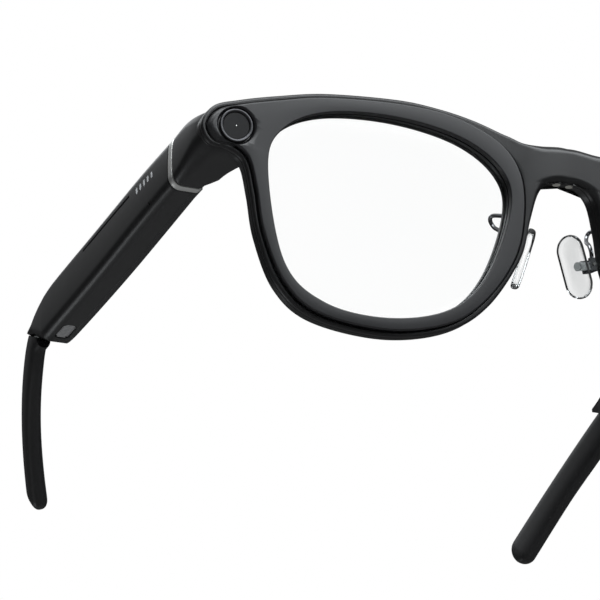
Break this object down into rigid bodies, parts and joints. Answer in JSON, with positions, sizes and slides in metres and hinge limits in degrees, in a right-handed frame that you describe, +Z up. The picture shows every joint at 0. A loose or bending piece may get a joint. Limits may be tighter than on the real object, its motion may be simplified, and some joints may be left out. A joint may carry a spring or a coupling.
{
  "type": "smart glasses",
  "caption": "Smart glasses with a keyhole-bridge front, camera endpiece, thick folding temples, slim curved ear tips and clear nose pads on wire arms.",
  "frame": {"origin": "centre of the footprint, on the surface that the open glasses stand on", "axes": "+Z up, -Y the way the wearer looks, +X the wearer's left"},
  "size_m": [0.1502, 0.149, 0.0471],
  "materials": {
    "frame_black": "fine satin moulding",
    "plate_black": "satin",
    "lens_clear": "clear, coated",
    "bezel_metal": "dark satin",
    "window_glass": "polished",
    "module_black": "satin",
    "board_green": "soldermask",
    "flex_film": "smooth film",
    "contact_gold": "plated",
    "hinge_steel": "brushed",
    "arm_chrome": "polished",
    "pad_silicone": "clear, soft",
    "collar_silver": "satin",
    "cell_blue": "foil wrap",
    "grille_metal": "satin mesh",
    "pip_grey": "translucent"
  },
  "bodies": {
    "front": {"front_frame": "frame_black", "right_face_plate": "plate_black", "left_face_plate": "plate_black", "right_lens": "lens_clear", "left_lens": "lens_clear", "camera_bezel": "bezel_metal", "camera_window": "window_glass", "camera_module": "module_black", "light_bezel": "bezel_metal", "light_window": "window_glass", "light_board": "board_green", "front_flex": "flex_film", "charging_contacts": "contact_gold", "right_front_leaf": "hinge_steel", "left_front_leaf": "hinge_steel", "front_leaf_screws": "hinge_steel", "right_pad_arm": "arm_chrome", "left_pad_arm": "arm_chrome", "right_pad_pin": "arm_chrome", "left_pad_pin": "arm_chrome"},
    "right_temple": {"right_temple_shell": "frame_black", "right_temple_cover": "frame_black", "right_collar": "collar_silver", "right_temple_leaf": "hinge_steel", "right_leaf_screws": "hinge_steel", "right_hinge_pin": "hinge_steel", "right_battery": "cell_blue", "main_board": "board_green", "processor": "hinge_steel", "right_speaker": "module_black", "right_grille": "grille_metal", "right_microphone": "module_black", "touch_strip": "module_black", "status_pips": "pip_grey", "button_switch": "module_black", "right_cover_screws": "hinge_steel", "right_ear_tip": "frame_black", "right_tip_core": "hinge_steel"},
    "left_temple": {"left_temple_shell": "frame_black", "left_temple_cover": "frame_black", "left_collar": "collar_silver", "left_temple_leaf": "hinge_steel", "left_leaf_screws": "hinge_steel", "left_hinge_pin": "hinge_steel", "left_battery": "cell_blue", "power_board": "board_green", "left_speaker": "module_black", "left_grille": "grille_metal", "left_microphone": "module_black", "left_cover_screws": "hinge_steel", "left_ear_tip": "frame_black", "left_tip_core": "hinge_steel"},
    "right_pad": {"right_nose_pad": "pad_silicone"},
    "left_pad": {"left_nose_pad": "pad_silicone"},
    "button": {"capture_button": "frame_black"}
  },
  "joints": [
    {"name": "right_temple_fold", "type": "hinge", "parent": "front", "child": "right_temple", "pos_m": [-0.0663, -0.0518, 0.0369], "axis": [0, 0, -1], "range_deg": [0, 78]},
    {"name": "left_temple_fold", "type": "hinge", "parent": "front", "child": "left_temple", "pos_m": [0.0663, -0.0518, 0.0369], "axis": [0, 0, 1], "range_deg": [0, 90]},
    {"name": "right_pad_rock", "type": "hinge", "parent": "front", "child": "right_pad", "pos_m": [-0.0096, -0.0629, 0.0225], "axis": [0.3256, 0.9455, 0], "range_deg": [-8, 8]},
    {"name": "left_pad_rock", "type": "hinge", "parent": "front", "child": "left_pad", "pos_m": [0.0096, -0.0629, 0.0225], "axis": [-0.3256, 0.9455, 0], "range_deg": [-8, 8]},
    {"name": "capture_press", "type": "slide", "parent": "right_temple", "child": "button", "axis": [0, 0, -1], "range_m": [0, 0.00035], "stiffness_N_per_m": 300}
  ]
}
